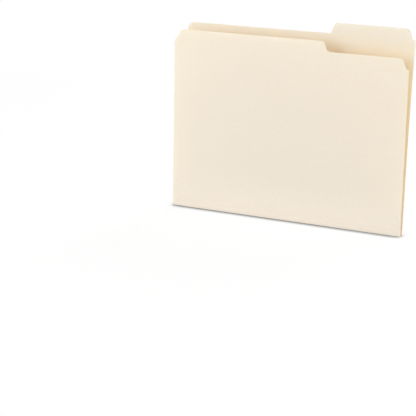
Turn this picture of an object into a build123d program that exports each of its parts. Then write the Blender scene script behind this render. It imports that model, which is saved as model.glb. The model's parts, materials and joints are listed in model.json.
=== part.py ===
# A letter-size file folder of manila board: one sheet, die-cut along its two top edges
# and folded along four scores. It stands slightly open on the first strip of its gusset.
# X runs along the fold, Y from the front leaf to the back leaf, Z up. The underside of
# the fold lies at Z = 0. Millimetres.
import os
from math import cos, radians, sin, tan

from build123d import *

# the sheet
board = 0.28
folder_width = 298.45
leaf_lean = 1.5

# heights above the underside of the fold, along each leaf
back_height = 228.8
tab_height = 12.5
front_height = 221.15
undercut = 12.15

# the gusset: three strips between four scores
score_pitch = 6.35
bead_radius = board
score_gap = 0.02

# the die-cut steps, each sloping from an upper level to a lower one
tab_width = 100.5
step_slope = 22.0
end_step = 12.7
right_ledge = 2.9
left_ledge = 7.0
front_corner_run = 9.7
front_corner_drop = 15.4
undercut_shift = 1.2
tab_round = 3.5
end_round = 5.5
foot_round = 3.0
undercut_round = 6.0
ledge_round = 1.5

half_width = folder_width / 2
half_pitch = score_pitch / 2
panel_start = bead_radius + score_gap
back_top = back_height - board
tab_top = back_top + tab_height
front_top = front_height - board
undercut_top = front_top - undercut

# the sideways run of each sloping step, and where the steps stand across the sheet
tab_run = tab_height * tan(radians(step_slope))
undercut_run = undercut * tan(radians(step_slope))
end_run = end_step * tan(radians(step_slope))
tab_middle = half_width - tab_width
undercut_middle = tab_middle - undercut_shift
right_foot = half_width - right_ledge
left_foot = left_ledge - half_width

# each leaf leans away from the other about its own score, on its inner face
lean_cos = cos(radians(leaf_lean))
lean_sin = sin(radians(leaf_lean))
back_score = Vector(0, half_pitch, board)
front_score = Vector(0, -half_pitch, board)
front_up = Vector(0, -lean_sin, lean_cos)
middle_score = front_score + front_up * score_pitch
upper_score = front_score + front_up * (2 * score_pitch)
back_plane = Plane(origin=back_score, x_dir=(1, 0, 0), z_dir=(0, -lean_cos, lean_sin))
front_plane = Plane(origin=front_score, x_dir=(1, 0, 0), z_dir=(0, -lean_cos, -lean_sin))
base_plane = Plane(origin=front_score, x_dir=(1, 0, 0), z_dir=(0, 0, 1))

os.makedirs("parts", exist_ok=True)


# a closed outline on a plane, from corners that each give across, up and the rounding radius
def die_cut(plane, corners):
    with BuildSketch(plane) as outline:
        with BuildLine():
            Polyline(*[(across, up) for across, up, _ in corners], close=True)
        make_face()
        for across, up, radius in corners:
            if radius:
                fillet(outline.vertices().sort_by_distance((across, up, 0))[0], radius=radius)
    return outline.sketch


# a plain strip of the sheet, from one score to the next
def strip_between(plane, lower, upper):
    return die_cut(
        plane,
        [
            (-half_width, lower + panel_start, 0),
            (half_width, lower + panel_start, 0),
            (half_width, upper - panel_start, 0),
            (-half_width, upper - panel_start, 0),
        ],
    )


# The back leaf: its body, and the index tab standing on the right third of its top edge.
with BuildPart() as back_leaf:
    back_outline = die_cut(
        back_plane,
        [
            (-half_width, panel_start, 0),
            (half_width, panel_start, 0),
            (half_width, back_top, ledge_round),
            (right_foot, back_top, ledge_round),
            (right_foot - tab_run, tab_top, end_round),
            (tab_middle + tab_run / 2, tab_top, tab_round),
            (tab_middle - tab_run / 2, back_top, foot_round),
            (left_foot + end_run, back_top, end_round),
            (left_foot, back_top - end_step, foot_round),
            (-half_width, back_top - end_step, ledge_round),
        ],
    )
    extrude(back_outline, amount=-board)

# The front leaf above its last score, undercut on the right so that the tab shows.
with BuildPart() as front_leaf:
    front_outline = die_cut(
        front_plane,
        [
            (-half_width, 2 * score_pitch + panel_start, 0),
            (half_width, 2 * score_pitch + panel_start, 0),
            (half_width, undercut_top - end_step, ledge_round),
            (right_foot, undercut_top - end_step, ledge_round),
            (right_foot - end_run, undercut_top, end_round),
            (undercut_middle + undercut_run / 2, undercut_top, undercut_round),
            (undercut_middle - undercut_run / 2, front_top, tab_round),
            (front_corner_run - half_width, front_top, tab_round),
            (-half_width, front_top - front_corner_drop, end_round),
        ],
    )
    extrude(front_outline, amount=board)

# The strip that the folder stands on, between the two scores that are folded.
with BuildPart() as base_strip:
    extrude(strip_between(base_plane, 0, score_pitch), amount=-board)

# Two more strips, flat in the front leaf until the gusset is squared up wider.
with BuildPart() as lower_strip:
    extrude(strip_between(front_plane, 0, score_pitch), amount=board)

with BuildPart() as upper_strip:
    extrude(strip_between(front_plane, score_pitch, 2 * score_pitch), amount=board)

panels = {
    "back_leaf": back_leaf,
    "front_leaf": front_leaf,
    "base_strip": base_strip,
    "lower_strip": lower_strip,
    "upper_strip": upper_strip,
}
for name, panel in panels.items():
    panel.part.label = name
    export_step(panel.part, f"parts/{name}.step")

# The scores: along each the board is pressed into a round bead, on which it folds.
beads = {
    "back_score": back_score,
    "front_score": front_score,
    "middle_score": middle_score,
    "upper_score": upper_score,
}
for name, middle in beads.items():
    left_end = middle - Vector(half_width, 0, 0)
    with BuildPart() as bead:
        with BuildSketch(Plane(origin=left_end, x_dir=(0, 1, 0), z_dir=(1, 0, 0))):
            Circle(bead_radius)
        extrude(amount=folder_width)
    bead.part.label = name
    export_step(bead.part, f"parts/{name}.step")
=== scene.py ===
# %% [markdown]
# A file folder of manila board, standing slightly open. The real thing is a single sheet: it is cut
# flat by a die, pressed along four scores and folded. This lesson makes it in the same order. The
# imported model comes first, because every piece has to land where its solid stands, and because the
# fold lines, the angle of the leaves and the thickness of the board can all be read from it.

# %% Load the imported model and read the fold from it
import json
import math

import bmesh
import bpy
from mathutils import Matrix, Vector, noise


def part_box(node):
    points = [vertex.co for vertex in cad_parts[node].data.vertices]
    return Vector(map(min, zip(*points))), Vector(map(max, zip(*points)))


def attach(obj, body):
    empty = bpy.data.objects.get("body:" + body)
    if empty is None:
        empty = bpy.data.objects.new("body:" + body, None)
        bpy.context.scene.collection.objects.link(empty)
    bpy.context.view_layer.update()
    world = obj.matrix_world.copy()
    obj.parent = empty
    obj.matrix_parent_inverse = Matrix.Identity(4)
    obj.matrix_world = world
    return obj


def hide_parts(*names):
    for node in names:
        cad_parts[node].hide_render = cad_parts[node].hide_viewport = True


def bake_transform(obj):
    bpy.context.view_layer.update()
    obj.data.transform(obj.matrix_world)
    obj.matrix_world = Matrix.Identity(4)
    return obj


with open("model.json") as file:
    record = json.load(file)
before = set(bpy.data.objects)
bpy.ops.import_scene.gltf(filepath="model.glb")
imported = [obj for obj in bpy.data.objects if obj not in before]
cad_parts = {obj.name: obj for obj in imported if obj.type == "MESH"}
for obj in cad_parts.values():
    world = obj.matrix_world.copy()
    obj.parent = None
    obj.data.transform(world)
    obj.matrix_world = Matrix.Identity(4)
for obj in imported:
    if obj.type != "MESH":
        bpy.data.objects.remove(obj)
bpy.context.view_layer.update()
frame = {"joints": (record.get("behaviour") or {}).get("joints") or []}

mm = 0.001

joints = {joint["name"]: joint for joint in frame["joints"]}
base_low, base_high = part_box("base_strip")
board = base_high.z - base_low.z
half_width = base_high.x
half_pitch = joints["back_fold"]["pos_m"][1]
pitch = 2 * half_pitch
fold_angle = math.radians(joints["back_fold"]["range_deg"][1])
print(f"board {board / mm:.2f} mm, folder {2 * half_width / mm:.2f} mm wide, strips {pitch / mm:.2f} mm")

# %% [markdown]
# The blank. Laid out flat and seen from the inside, the sheet is one outline: the back leaf with its
# tab runs up the page and the front leaf with its undercut runs down it. A few corner points drawn in
# order, and one face between them, are all that the die needs. Each corner carries the radius of the
# rule that cuts it, and a vertex bevel rounds it. Rounding by hand-placed points would work as well,
# but the bevel keeps the number of points in one setting.

# %% Sizes of the die's outline
back_top = 228.52 * mm
tab_rise = 12.5 * mm
front_top = 220.87 * mm
undercut = 12.15 * mm
tab_width = 100.5 * mm
end_step = 12.7 * mm
step_lean = math.tan(math.radians(22.0))
right_ledge = 2.9 * mm
left_ledge = 7.0 * mm
corner_run = 9.7 * mm
corner_drop = 15.4 * mm
undercut_shift = 1.2 * mm
tab_round = 3.5 * mm
end_round = 5.5 * mm
foot_round = 3.0 * mm
undercut_round = 6.0 * mm
ledge_round = 1.5 * mm
print(f"tab {tab_width / mm:.1f} mm wide, {tab_rise / mm:.1f} mm high; undercut {undercut / mm:.2f} mm deep")

# %% The corners of the blank, each with its rounding
tab_top = back_top + tab_rise
undercut_top = front_top - undercut
tab_middle = half_width - tab_width
undercut_middle = tab_middle - undercut_shift
right_foot = half_width - right_ledge
left_foot = left_ledge - half_width
tab_run = tab_rise * step_lean
end_run = end_step * step_lean
undercut_run = undercut * step_lean

back_edge = [
    (half_width, back_top, ledge_round),
    (right_foot, back_top, ledge_round),
    (right_foot - tab_run, tab_top, end_round),
    (tab_middle + tab_run / 2, tab_top, tab_round),
    (tab_middle - tab_run / 2, back_top, foot_round),
    (left_foot + end_run, back_top, end_round),
    (left_foot, back_top - end_step, foot_round),
    (-half_width, back_top - end_step, ledge_round),
]
front_edge = [
    (-half_width, front_top - corner_drop, end_round),
    (corner_run - half_width, front_top, tab_round),
    (undercut_middle - undercut_run / 2, front_top, tab_round),
    (undercut_middle + undercut_run / 2, undercut_top, undercut_round),
    (right_foot - end_run, undercut_top, end_round),
    (right_foot, undercut_top - end_step, ledge_round),
    (half_width, undercut_top - end_step, ledge_round),
]
corners = [(x, half_pitch + up, radius) for x, up, radius in back_edge]
corners += [(x, -half_pitch - up, radius) for x, up, radius in front_edge]
blank_length = tab_top + pitch + front_top
print(f"blank {2 * half_width / mm:.2f} x {blank_length / mm:.1f} mm, {len(corners)} corners")

# %% Cut the blank
round_segments = 8


def cut_blank():
    blank = bmesh.new()
    points = [blank.verts.new((x, y, 0)) for x, y, _ in corners]
    blank.faces.new(points)
    for index, (x, y, radius) in enumerate(corners):
        here = Vector((x, y))
        before = (Vector(corners[index - 1][:2]) - here).normalized()
        after = (Vector(corners[(index + 1) % len(corners)][:2]) - here).normalized()
        reach = radius / math.tan(before.angle(after) / 2)
        bmesh.ops.bevel(blank, geom=[points[index]], offset=reach, offset_type="OFFSET",
                        segments=round_segments, profile=0.5, affect="VERTICES", material=-1)
    return blank


trial = cut_blank()
area = sum(face.calc_area() for face in trial.faces)
print(f"the blank's outline has {len(trial.verts)} points and encloses {area * 1e4:.0f} cm2")
trial.free()

# %% [markdown]
# Panels and creases. On the real sheet a score is where the board is pressed thin, and everything
# between two scores stays flat. So the blank is parted a little to each side of every score. That
# leaves five flat panels, which move with one body each, and four narrow creases between them.
# Cutting planes do both jobs: two planes trim a copy of the blank to its band, and further planes
# lay the rows and columns that the bending needs. Then the face is raised by the thickness of the
# board, and the two edges left by the die are rounded off, because cut board is never razor sharp.

# %% Where the scores lie and the blank is parted
seam = 1.2 * mm
score_lines = {
    "back": half_pitch,
    "front": -half_pitch,
    "middle": -half_pitch - pitch,
    "upper": -half_pitch - 2 * pitch,
}
back_end = half_pitch + tab_top
front_end = -half_pitch - front_top
print(f"{len(score_lines)} scores, with a seam {seam / mm:.1f} mm to each side of them")

# %% Trim a copy of the blank to its band
column = 10 * mm
hair = 1e-7


def slice_at(sheet, place, across, **clear):
    everything = sheet.verts[:] + sheet.edges[:] + sheet.faces[:]
    bmesh.ops.bisect_plane(sheet, geom=everything, dist=hair, plane_co=place, plane_no=across, **clear)


def trim_band(lower, upper, rows):
    sheet = cut_blank()
    slice_at(sheet, (0, lower, 0), (0, 1, 0), clear_inner=True)
    slice_at(sheet, (0, upper, 0), (0, 1, 0), clear_outer=True)
    columns = int(half_width / column)
    for step in range(-columns, columns + 1):
        slice_at(sheet, (step * column, 0, 0), (1, 0, 0))
    for y in rows:
        slice_at(sheet, (0, y, 0), (0, 1, 0))
    return sheet


trial = trim_band(score_lines["front"] + seam, score_lines["back"] - seam, [])
print(f"the strip that the folder stands on has {len(trial.faces)} columns")
trial.free()

# %% Give a band its thickness and soften the cut edges
cut_round = 0.06 * mm
cut_segments = 2
flat_limit = 0.95
seam_limit = 0.9
face_slot, edge_slot = 0, 1


def is_flat(face):
    return abs(face.normal.z) > flat_limit


def cut_band(lower, upper, rows):
    sheet = trim_band(lower, upper, rows)
    raised = bmesh.ops.extrude_face_region(sheet, geom=sheet.faces[:])["geom"]
    raised = [part for part in raised if isinstance(part, bmesh.types.BMVert)]
    bmesh.ops.translate(sheet, verts=raised, vec=(0, 0, board))
    bmesh.ops.recalc_face_normals(sheet, faces=sheet.faces[:])

    def at_seam(face):
        y = face.calc_center_median().y
        return abs(face.normal.y) > seam_limit and min(abs(y - lower), abs(y - upper)) < hair

    rim = [edge for edge in sheet.edges
           if len({is_flat(face) for face in edge.link_faces}) == 2
           and not any(at_seam(face) for face in edge.link_faces)]
    bmesh.ops.bevel(sheet, geom=rim, offset=cut_round, offset_type="OFFSET", segments=cut_segments,
                    profile=0.5, affect="EDGES", material=-1)
    for face in sheet.faces:
        face.material_index = face_slot if is_flat(face) else edge_slot
        face.smooth = True
    return sheet


trial = cut_band(score_lines["front"] + seam, score_lines["back"] - seam, [])
cut_faces = [face for face in trial.faces if face.material_index == edge_slot]
print(f"the same strip as board: {len(trial.faces)} faces, {len(cut_faces)} of them on cut edges")
trial.free()

# %% [markdown]
# Pressing, curling and folding. The die leaves a groove on the outside of every score and a bead on
# the inside. A leaf that leans outwards curls very slightly under its own weight, so half way up it is
# a millimetre or so nearer to the other leaf than a straight board would be, and no board is perfectly
# flat. All of that is added while the sheet lies flat, where it is only a matter of height. Then each
# point past a base score is turned up about that score. The turn grows smoothly across the crease, so
# the board rolls round the fold instead of breaking. The flat place of every point is kept as an
# attribute, so that the grain of the board can run on unbroken from panel to panel.

# %% Press the scores
groove = 0.11 * mm
bead = 0.13 * mm
press_width = 0.33 * mm


def pressed(point):
    inside = point.z / board
    for line in score_lines.values():
        near = math.exp(-(((point.y - line) / press_width) ** 2))
        point.z += near * (groove * (1 - inside) + bead * inside)
    return point


raised_by = pressed(Vector((0, score_lines["middle"], board))).z - board
print(f"on the inside, a score stands {raised_by / mm:.2f} mm proud")

# %% Curl the leaves
back_curl = (1.0 * mm, 1.5 * mm)
front_curl = (0.25 * mm, 0.5 * mm)
cockle = 0.07 * mm
cockle_size = 60 * mm


# A rise and fall along a leaf: 1 half way up, 0 and level at both ends
def belly(t):
    t = min(1.0, max(0.0, t))
    return 16 * (t * (1 - t)) ** 2


def curled(point):
    if point.y > 0:
        start, end, depths = score_lines["back"] + seam, back_end, back_curl
    else:
        start, end, depths = score_lines["upper"] - seam, front_end, front_curl
    rightwards = (point.x / half_width + 1) / 2
    depth = depths[0] + (depths[1] - depths[0]) * rightwards
    wave = noise.noise(Vector((point.x, point.y, 0)) / cockle_size)
    point.z += belly((point.y - start) / (end - start)) * (depth + cockle * wave)
    return point


half_way = (score_lines["back"] + seam + back_end) / 2
print(f"half way up, the back leaf curls inwards by {curled(Vector((0, half_way, 0))).z / mm:.2f} mm")

# %% Fold the sheet
roll = 0.45 * mm


def smooth(t):
    t = min(1.0, max(0.0, t))
    return t * t * (3 - 2 * t)


def folded(point):
    side = math.copysign(1.0, point.y)
    out, up = abs(point.y) - half_pitch, point.z - board
    turn = fold_angle * smooth((out + roll) / (2 * roll))
    new_out = out * math.cos(turn) - up * math.sin(turn)
    new_up = out * math.sin(turn) + up * math.cos(turn)
    return Vector((point.x, side * (half_pitch + new_out), board + new_up))


print(f"folded up, the tab's top is {folded(Vector((0, back_end, board))).z / mm:.1f} mm high")

# %% From a band of the blank to a piece of the folder
sharp_turn = math.radians(25)


def make_piece(name, lower, upper, rows):
    sheet = cut_band(lower, upper, rows)
    blank_place = sheet.verts.layers.float_vector.new("blank")
    for vert in sheet.verts:
        vert[blank_place] = vert.co
        vert.co = folded(pressed(curled(vert.co.copy())))
    mesh = bpy.data.meshes.new(name)
    sheet.to_mesh(mesh)
    sheet.free()
    mesh.set_sharp_from_angle(angle=sharp_turn)
    piece = bpy.data.objects.new(name, mesh)
    bpy.context.scene.collection.objects.link(piece)
    print(f"{name}: {len(mesh.polygons)} faces")
    return piece


# %% The five panels
row = 8 * mm
beyond = 1 * mm


def make_panel(name, lower, upper):
    count = max(1, round((upper - lower) / row))
    rows = [lower + (upper - lower) * step / count for step in range(1, count)]
    return make_piece(name, lower, upper, rows)


back_leaf = make_panel("back_leaf_card", score_lines["back"] + seam, back_end + beyond)
base_strip = make_panel("base_strip_card", score_lines["front"] + seam, score_lines["back"] - seam)
lower_strip = make_panel("lower_strip_card", score_lines["middle"] + seam, score_lines["front"] - seam)
upper_strip = make_panel("upper_strip_card", score_lines["upper"] + seam, score_lines["middle"] - seam)
front_leaf = make_panel("front_leaf_card", front_end - beyond, score_lines["upper"] - seam)

# %% The four creases
crease_row = 0.075 * mm
crease_rows = 8


def make_crease(name, score):
    line = score_lines[score]
    rows = [line + step * crease_row for step in range(-crease_rows, crease_rows + 1)]
    return make_piece(name, line - seam, line + seam, rows)


back_crease = make_crease("back_crease", "back")
front_crease = make_crease("front_crease", "front")
middle_crease = make_crease("middle_crease", "middle")
upper_crease = make_crease("upper_crease", "upper")

# %% [markdown]
# What moves with what. A panel rides on its body and stands for its solid. A crease lies between two
# bodies; here it is only set where it stands at rest, and its solid is hidden. Each crease is listed
# with its fold and a reach: at the two base folds, where the sheet already goes round a corner, the reach
# runs along the slant between floor and leaf, and at the two flat scores straight up the front leaf.

# %% Panels ride on their bodies
panels = {
    "back": (back_leaf, "back_leaf"),
    "base": (base_strip, "base_strip"),
    "lower": (lower_strip, "lower_strip"),
    "upper": (upper_strip, "upper_strip"),
    "front": (front_leaf, "front_leaf"),
}
for body, (piece, solid) in panels.items():
    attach(piece, body)
    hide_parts(solid)
print(f"{len(panels)} panels ride on their bodies")

# %% Creases are set where they stand, and their solids hidden
corner_reach = 0.65 * mm
flat_reach = 0.55 * mm
front_up = Vector((0, -math.cos(fold_angle), math.sin(fold_angle)))
creases = [
    (back_crease, "back_score", "back_fold", Vector((0, 1, 1)).normalized() * corner_reach),
    (front_crease, "front_score", "front_fold", Vector((0, -1, 1)).normalized() * corner_reach),
    (middle_crease, "middle_score", "middle_fold_back", front_up * flat_reach),
    (upper_crease, "upper_score", "upper_fold_back", front_up * flat_reach),
]
for piece, solid, joint_name, reach in creases:
    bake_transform(piece)
    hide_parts(solid)
print(f"{len(creases)} creases blend between two bodies")

# %% [markdown]
# The board. Manila board is cream, smooth from the calender rolls and only slightly shiny. Close to, it
# isn't one colour: pulp settles in soft clouds a few millimetres wide, single fibres lie in every
# direction with a leaning along the machine, and a few darker flecks are left from the bark. One node
# group makes those three from the flat place of the sheet, and each finish mixes them in its own way.
# An image would give the same colours, but nodes stay sharp however close the camera comes.

# %% Helpers that add nodes
def add(tree, kind, feeds=(), **settings):
    made = tree.nodes.new(kind)
    for name, value in settings.items():
        setattr(made, name, value)
    for name, value in dict(feeds).items():
        if isinstance(value, bpy.types.NodeSocket):
            tree.links.new(value, made.inputs[name])
        else:
            made.inputs[name].default_value = value
    return made


def remap(tree, value, low, high):
    spread = {"Value": value, "From Min": low, "From Max": high}
    return add(tree, "ShaderNodeMapRange", spread).outputs["Result"]


def arithmetic(tree, operation, first, second):
    return add(tree, "ShaderNodeMath", {0: first, 1: second}, operation=operation).outputs[0]


def tint(tree, factor, first, second):
    return add(tree, "ShaderNodeMix", {0: factor, 6: first, 7: second}, data_type="RGBA").outputs[2]


print("node helpers: add, remap, arithmetic and tint")

# %% A group for pulp: its clouds and fibres
cloud_scale = 240.0
fibre_scale = (650, 4200, 900)

pulp = bpy.data.node_groups.new("pulp", "ShaderNodeTree")
pulp.interface.new_socket("Place", in_out="INPUT", socket_type="NodeSocketVector")
for name in ("Cloud", "Fibre", "Fleck", "Height"):
    pulp.interface.new_socket(name, in_out="OUTPUT", socket_type="NodeSocketFloat")
place = add(pulp, "NodeGroupInput").outputs["Place"]

cloud_noise = add(pulp, "ShaderNodeTexNoise", {"Vector": place, "Scale": cloud_scale, "Detail": 3.0})
cloud = remap(pulp, cloud_noise.outputs[0], 0.3, 0.7)


def fibre_lay(turn, seed):
    lay = add(pulp, "ShaderNodeMapping", {
        "Vector": place, "Location": (seed, seed, 0), "Rotation": (0, 0, math.radians(turn)),
        "Scale": fibre_scale})
    strands = add(pulp, "ShaderNodeTexNoise", {
        "Vector": lay.outputs[0], "Scale": 1.0, "Detail": 2.0, "Distortion": 0.7})
    return remap(pulp, strands.outputs[0], 0.54, 0.74)


fibre = arithmetic(pulp, "MAXIMUM", fibre_lay(8, 0.0), fibre_lay(-52, 3.0))
fibre = arithmetic(pulp, "MAXIMUM", fibre, fibre_lay(61, 7.0))
print(f"clouds and fibres: {len(pulp.nodes)} nodes")

# %% The same group: its flecks and height
fleck_scale = (120, 300, 120)
tooth_scale = 2600.0
fibre_height, tooth_height, cloud_height = 0.6, 0.5, 0.4

scatter = add(pulp, "ShaderNodeMapping", {
    "Vector": place, "Rotation": (0, 0, math.radians(20)), "Scale": fleck_scale})
cells = add(pulp, "ShaderNodeTexVoronoi", {"Vector": scatter.outputs[0], "Scale": 1.0})
speck = remap(pulp, cells.outputs["Distance"], 0.12, 0.04)
chance = add(pulp, "ShaderNodeSeparateColor", {"Color": cells.outputs["Color"]}).outputs[0]
fleck = arithmetic(pulp, "MULTIPLY", speck, remap(pulp, chance, 0.7, 1.0))

tooth = add(pulp, "ShaderNodeTexNoise", {"Vector": place, "Scale": tooth_scale, "Detail": 2.0}).outputs[0]
height = arithmetic(pulp, "MULTIPLY", fibre, fibre_height)
height = arithmetic(pulp, "ADD", height, arithmetic(pulp, "MULTIPLY", tooth, tooth_height))
height = arithmetic(pulp, "ADD", height, arithmetic(pulp, "MULTIPLY", cloud, cloud_height))

result = add(pulp, "NodeGroupOutput")
for name, value in (("Cloud", cloud), ("Fibre", fibre), ("Fleck", fleck), ("Height", height)):
    pulp.links.new(value, result.inputs[name])
print(f"the whole pulp group: {len(pulp.nodes)} nodes")

# %% [markdown]
# Two finishes use the pulp. The face is the calendered skin: cream, a touch warmer in the dense clouds,
# paler along the fibres. On the side that is folded inwards it is painted a shade deeper and warmer,
# which is painted shade for the space between the leaves. Only the tab and the top of the back leaf,
# which stand above the front leaf, are left paler, without that painted shade. The cut edge is the torn
# inside of the board: dull and rough. Both finishes let a little light through, as Subsurface, which
# warms the space between the leaves. It fades out on the way down to the strips, because light that
# wanders inside a mesh can't cross into the next one, and the seams would show as dark lines.

# %% Colours of the board
outer_cream = (0.930, 0.852, 0.744, 1)
# The next two colours are for the inner side: the second is painted shade, deeper and warmer, for the light
# caught between the leaves; the first is the top of the back leaf, clear of that painted shade
paled_cream = (0.862, 0.818, 0.735, 1)
inner_painted_shade_cream = (0.930, 0.793, 0.562, 1)
dense_cream = (0.915, 0.812, 0.655, 1)
pale_fibre = (0.950, 0.880, 0.768, 1)
bark = (0.56, 0.41, 0.25, 1)
raw_pulp = (0.915, 0.832, 0.690, 1)
raw_shade = (0.855, 0.752, 0.592, 1)

# Over this span the painted shade on the back leaf fades out, where it stands above the front leaf
paled_from, paled_to = half_pitch + 180 * mm, half_pitch + 228 * mm
outer_part, inner_part = 0.3 * board, 0.7 * board
cloud_share = 0.5


def pulp_colour(tree, grain, part, outside, inside, paled, dense, fibre_share, fleck_share):
    # Painted shade: the inner side takes the deeper, warmer colour, fading out over the top of the back leaf
    colour = tint(tree, remap(tree, part["Y"], paled_from, paled_to), inside, paled)
    colour = tint(tree, remap(tree, part["Z"], outer_part, inner_part), outside, colour)
    for share, mask, other in ((cloud_share, "Cloud", dense),
                               (fibre_share, "Fibre", pale_fibre),
                               (fleck_share, "Fleck", bark)):
        some = arithmetic(tree, "MULTIPLY", grain.outputs[mask], share)
        colour = tint(tree, some, colour, other)
    return colour


# Prints the span where the painted shade on the back leaf fades out
print(f"the back leaf pales between {paled_from / mm:.0f} and {paled_to / mm:.0f} mm from the sheet's middle")

# %% A finish made from the pulp
shine_spread = 0.05
relief_depth = 0.02 * mm
light_reach = 0.3 * mm
glow_from, glow_to = half_pitch + 2 * pitch + 3 * mm, half_pitch + 2 * pitch + 35 * mm


def pulp_finish(name, dull, relief, **colours):
    material = bpy.data.materials.new(name)
    material.use_nodes = True
    tree = material.node_tree
    skin = tree.nodes["Principled BSDF"]
    flat_place = add(tree, "ShaderNodeAttribute", attribute_name="blank").outputs["Vector"]
    part = add(tree, "ShaderNodeSeparateXYZ", {"Vector": flat_place}).outputs
    grain = add(tree, "ShaderNodeGroup", node_tree=pulp)
    tree.links.new(flat_place, grain.inputs["Place"])
    tree.links.new(pulp_colour(tree, grain, part, **colours), skin.inputs["Base Color"])
    shine = add(tree, "ShaderNodeMapRange", {
        "Value": grain.outputs["Cloud"], "To Min": dull - shine_spread, "To Max": dull + shine_spread})
    tree.links.new(shine.outputs["Result"], skin.inputs["Roughness"])
    bump = add(tree, "ShaderNodeBump", {
        "Strength": relief, "Distance": relief_depth, "Height": grain.outputs["Height"]})
    tree.links.new(bump.outputs["Normal"], skin.inputs["Normal"])
    away = arithmetic(tree, "ABSOLUTE", part["Y"], 0.0)
    tree.links.new(remap(tree, away, glow_from, glow_to), skin.inputs["Subsurface Weight"])
    skin.inputs["Subsurface Radius"].default_value = (1.0, 1.0, 1.0)
    skin.inputs["Subsurface Scale"].default_value = light_reach
    skin.inputs["Specular IOR Level"].default_value = 0.35
    print(f"{name}: {len(tree.nodes)} nodes")
    return material


# %% Finishes for the face and the cut edge
# The face's inside colour is painted shade between the leaves; the top of the back leaf is left without it
face_finish = pulp_finish(
    "manila_face", dull=0.62, relief=0.5, outside=outer_cream, inside=inner_painted_shade_cream, paled=paled_cream,
    dense=dense_cream, fibre_share=0.5, fleck_share=0.3)
edge_finish = pulp_finish(
    "manila_cut_edge", dull=0.85, relief=0.9, outside=raw_pulp, inside=raw_pulp, paled=raw_pulp,
    dense=raw_shade, fibre_share=0.7, fleck_share=0.1)
pieces = [piece for piece, _ in panels.values()] + [crease[0] for crease in creases]
for piece in pieces:
    piece.data.materials.append(face_finish)
    piece.data.materials.append(edge_finish)
print(f"{len(pieces)} pieces have both finishes")

# %% [markdown]
# The stage. The photograph has a plain white ground with a thin shadow where the folder touches it. A
# diffuse floor takes the light and the shadow. Where it is looked at, part of its white is a glow, so
# that it is white without more light on the board, and further out it gives way to the white world.
# The thin dark line under the fold comes from an Ambient Occlusion node, which darkens the floor only
# where something stands on it. The floor is drawn from above only, so that the fold can be looked at
# from beneath, and it lets rays pass that start right on it, so that the underside isn't black then.

# %% A floor just under the fold
floor_size = 30.0
floor_drop = 0.05 * mm
plane = bmesh.new()
bmesh.ops.create_grid(plane, x_segments=1, y_segments=1, size=floor_size / 2)
bmesh.ops.translate(plane, verts=plane.verts[:], vec=(0, 0, -floor_drop))
floor_mesh = bpy.data.meshes.new("floor")
plane.to_mesh(floor_mesh)
plane.free()
floor = bpy.data.objects.new("floor", floor_mesh)
bpy.context.scene.collection.objects.link(floor)
print(f"floor: {floor_size:.0f} m square")

# %% The floor's white, with its glow and contact shade
floor_white = 0.80
floor_seen = 0.25
floor_glow = 0.76
contact_reach = 17 * mm
contact_shade = 0.15
closed_in, open_air = 0.45, 0.9


def seen_directly(tree):
    path = add(tree, "ShaderNodeLightPath")
    seen = arithmetic(tree, "MAXIMUM", path.outputs["Is Camera Ray"], path.outputs["Is Glossy Ray"])
    return arithmetic(tree, "MAXIMUM", seen, path.outputs["Is Transmission Ray"])


def grey(tree, value):
    return add(tree, "ShaderNodeCombineColor", {0: value, 1: value, 2: value}).outputs[0]


ground = bpy.data.materials.new("white_ground")
ground.use_nodes = True
tree = ground.node_tree
tree.nodes.clear()
seen = seen_directly(tree)
contact = add(tree, "ShaderNodeAmbientOcclusion", {"Distance": contact_reach}, samples=16)
near = add(tree, "ShaderNodeMapRange", {
    "Value": contact.outputs["AO"], "From Min": closed_in, "From Max": open_air,
    "To Min": contact_shade, "To Max": 1.0}).outputs["Result"]
white = add(tree, "ShaderNodeMapRange", {
    "Value": seen, "To Min": floor_white, "To Max": arithmetic(tree, "MULTIPLY", near, floor_seen)})
diffuse = add(tree, "ShaderNodeBsdfDiffuse", {"Color": grey(tree, white.outputs["Result"])})
glow = add(tree, "ShaderNodeEmission", {"Color": grey(tree, near)})
tree.links.new(arithmetic(tree, "MULTIPLY", seen, floor_glow), glow.inputs["Strength"])
lit = add(tree, "ShaderNodeAddShader", {0: diffuse.outputs[0], 1: glow.outputs[0]})
print(f"white ground so far: {len(tree.nodes)} nodes")

# %% Where the floor lets rays pass
fade_start, fade_end = 0.7, 1.6
under_reach = 2 * mm

where = add(tree, "ShaderNodeTexCoord").outputs["Object"]
far = add(tree, "ShaderNodeVectorMath", {0: where}, operation="LENGTH").outputs["Value"]
fade = add(tree, "ShaderNodeMapRange", {"Value": far, "From Min": fade_start, "From Max": fade_end},
           interpolation_type="SMOOTHSTEP").outputs["Result"]
from_below = add(tree, "ShaderNodeNewGeometry").outputs["Backfacing"]
gone = arithmetic(tree, "MAXIMUM", from_below, arithmetic(tree, "MULTIPLY", fade, seen))
ray_length = add(tree, "ShaderNodeLightPath").outputs["Ray Length"]
gone = arithmetic(tree, "MAXIMUM", gone, arithmetic(tree, "LESS_THAN", ray_length, under_reach))
clear = add(tree, "ShaderNodeBsdfTransparent")
shown = add(tree, "ShaderNodeMixShader", {0: gone, 1: lit.outputs[0], 2: clear.outputs[0]})
add(tree, "ShaderNodeOutputMaterial", {"Surface": shown.outputs[0]})
floor_mesh.materials.append(ground)
print(f"the floor fades out between {fade_start} and {fade_end} m from the folder")

# %% [markdown]
# The world. It is plain white where it is looked at, which is the background of the picture. As a light
# it is weaker, because most of the light should come from the lamps. A Light Path node tells the two
# apart, as it does in the floor.

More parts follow.
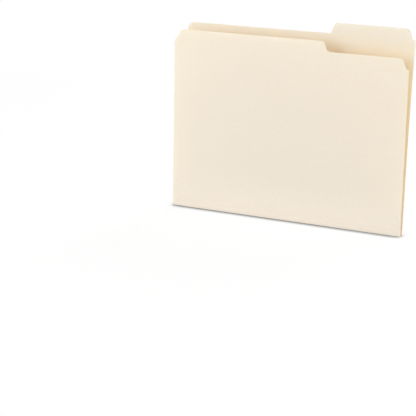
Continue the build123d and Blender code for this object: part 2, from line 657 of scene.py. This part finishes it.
# %% A white world
sky_light = 0.46
world = bpy.data.worlds.new("studio")
bpy.context.scene.world = world
world.use_nodes = True
tree = world.node_tree
sky = tree.nodes["Background"]
sky.inputs["Color"].default_value = (1, 1, 1, 1)
strength = add(tree, "ShaderNodeMapRange", {
    "Value": seen_directly(tree), "To Min": sky_light, "To Max": 1.0})
tree.links.new(strength.outputs["Result"], sky.inputs["Strength"])
print(f"the world lights the folder at {sky_light} of its white")

# %% [markdown]
# Light. The back leaf is darkest just behind the left end of the undercut, and that soft shadow gives
# the main light away: it stands well to the left, low and large. A weak fill beside the camera evens
# out the front leaf, and a lamp overhead lights the space between the leaves. One at the right shines
# along that space and makes the strip of inner face beside the front leaf glow. The last one lights
# the back, so that the folder looks the same from behind.

# %% Soft lamps
def softbox(name, place, target, size, watts):
    lamp = bpy.data.lights.new(name, "AREA")
    lamp.shape = "DISK"
    lamp.size = size
    lamp.energy = watts
    made = bpy.data.objects.new(name, lamp)
    away = (Vector(place) - Vector(target)).normalized()
    made.matrix_world = Matrix.Translation(place) @ away.to_track_quat("Z", "Y").to_matrix().to_4x4()
    bpy.context.scene.collection.objects.link(made)
    print(f"{name}: {watts} W over {size} m")


middle = (0, 0, 0.12)
softbox("main_light", (-1.9, -1.75, 0.45), middle, 1.7, 27.5)
softbox("fill_light", (0.8, -2.3, 0.9), middle, 1.2, 7)
softbox("top_light", (0.0, -0.2, 2.3), middle, 1.2, 13)
softbox("right_light", (2.3, 0.05, 0.6), middle, 1.0, 18)
softbox("back_light", (0.2, 1.9, 1.2), middle, 1.4, 15)

# %% [markdown]
# Camera. The corners of the folder in the photograph fix where the camera stood: a long lens, a little
# to the right of the folder and above it, with a slight roll. The sensor is square, as the picture is.
# Light goes back and forth many times between two pale leaves before it leaves the folder, and each
# time it gets warmer, so the number of bounces is raised as well.

# %% Camera
picture = 416
focal_pixels = 1425.0
azimuth, elevation, roll_angle = (math.radians(angle) for angle in (25.660, 13.620, 1.679))
distance = 1770.28 * mm
aim = Vector((-101.81 * mm, 0, 1.08 * mm))

backwards = Vector((math.sin(azimuth) * math.cos(elevation),
                    -math.cos(azimuth) * math.cos(elevation), math.sin(elevation)))
sideways = Vector((0, 0, 1)).cross(backwards).normalized()
upwards = backwards.cross(sideways)
level = Matrix((sideways, upwards, backwards)).transposed()
turned = level @ Matrix.Rotation(roll_angle, 3, "Z")
camera = bpy.data.objects.new("camera", bpy.data.cameras.new("camera"))
camera.data.sensor_width = 36.0
camera.data.lens = focal_pixels / picture * camera.data.sensor_width
camera.matrix_world = Matrix.Translation(aim + backwards * distance) @ turned.to_4x4()
bpy.context.scene.collection.objects.link(camera)
bpy.context.scene.camera = camera
print(f"lens {camera.data.lens:.1f} mm, {distance:.2f} m from the point it looks at")

# %% Colours as they are, and enough bounces
bounces = 32
bpy.context.scene.view_settings.view_transform = "Standard"
bpy.context.scene.cycles.max_bounces = bounces
bpy.context.scene.cycles.diffuse_bounces = bounces
print(f"up to {bounces} bounces")
